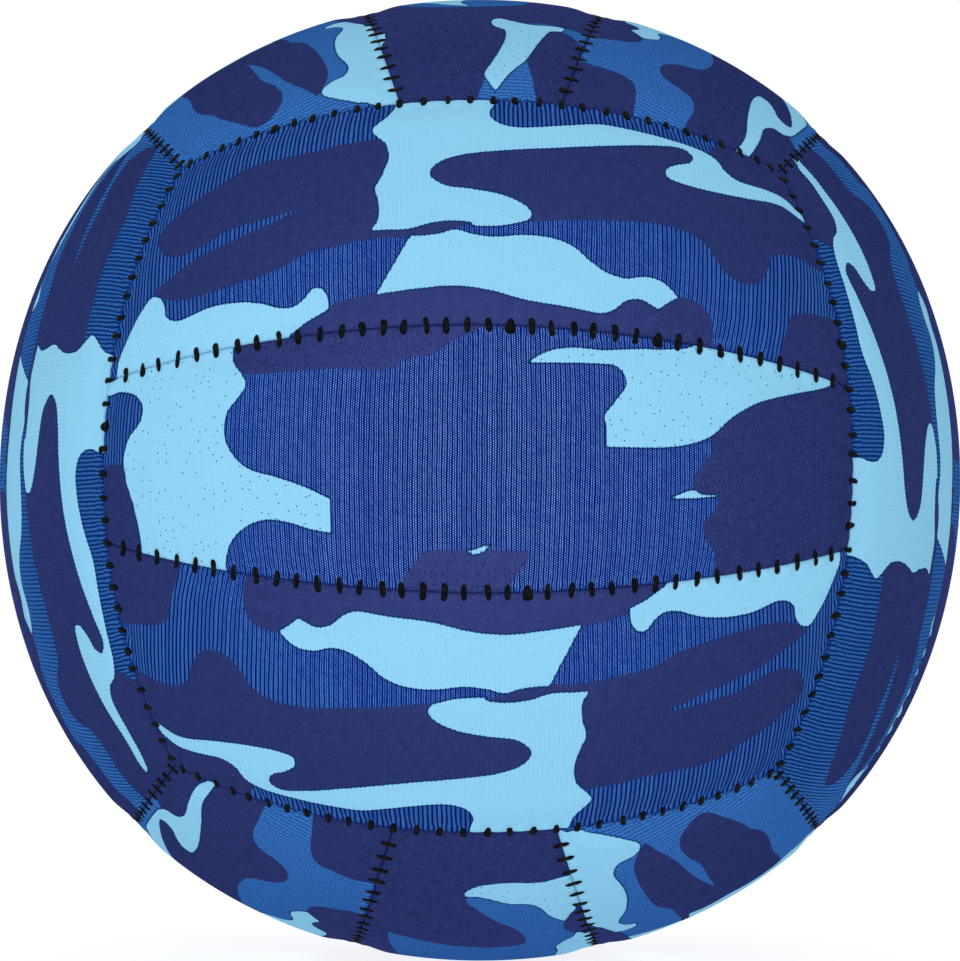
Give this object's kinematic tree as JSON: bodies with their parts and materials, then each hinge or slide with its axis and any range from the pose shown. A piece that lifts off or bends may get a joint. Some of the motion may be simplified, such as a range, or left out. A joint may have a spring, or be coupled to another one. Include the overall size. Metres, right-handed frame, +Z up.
{
  "type": "neoprene play ball",
  "caption": "Inflatable play ball: neoprene strip panels sewn in volleyball fashion with black thread, over a rubber bladder with a needle valve.",
  "frame": {"origin": "the ball's centre", "axes": "+Z up through the top face's middle strip, -Y out of the front face's middle strip, +Y out through the valve, +X to the right seen from the front"},
  "size_m": [0.21, 0.2098, 0.21],
  "materials": {
    "printed_knit": "ribbed knit over neoprene, matt, printed in light, medium and dark blue camouflage",
    "seam_thread": "black waxed twisted thread, low sheen",
    "bladder_rubber": "smooth dull butyl rubber",
    "valve_rubber": "smooth black rubber"
  },
  "bodies": {
    "root": {"front_lower_panel": "printed_knit", "front_middle_panel": "printed_knit", "front_upper_panel": "printed_knit", "back_lower_panel": "printed_knit", "back_middle_panel": "printed_knit", "back_upper_panel": "printed_knit", "left_front_panel": "printed_knit", "left_middle_panel": "printed_knit", "left_back_panel": "printed_knit", "right_front_panel": "printed_knit", "right_middle_panel": "printed_knit", "right_back_panel": "printed_knit", "bottom_left_panel": "printed_knit", "bottom_middle_panel": "printed_knit", "bottom_right_panel": "printed_knit", "top_left_panel": "printed_knit", "top_middle_panel": "printed_knit", "top_right_panel": "printed_knit", "front_bottom_seam_thread": "seam_thread", "front_lower_strip_thread": "seam_thread", "front_top_seam_thread": "seam_thread", "front_upper_strip_thread": "seam_thread", "back_bottom_seam_thread": "seam_thread", "back_lower_strip_thread": "seam_thread", "back_top_seam_thread": "seam_thread", "back_upper_strip_thread": "seam_thread", "left_front_seam_thread": "seam_thread", "left_front_strip_thread": "seam_thread", "left_back_seam_thread": "seam_thread", "left_back_strip_thread": "seam_thread", "right_front_seam_thread": "seam_thread", "right_front_strip_thread": "seam_thread", "right_back_seam_thread": "seam_thread", "right_back_strip_thread": "seam_thread", "bottom_left_seam_thread": "seam_thread", "bottom_left_strip_thread": "seam_thread", "bottom_right_seam_thread": "seam_thread", "bottom_right_strip_thread": "seam_thread", "top_left_seam_thread": "seam_thread", "top_left_strip_thread": "seam_thread", "top_right_seam_thread": "seam_thread", "top_right_strip_thread": "seam_thread", "bladder": "bladder_rubber", "valve_seat": "valve_rubber", "valve_core": "valve_rubber"}
  },
  "joints": []
}
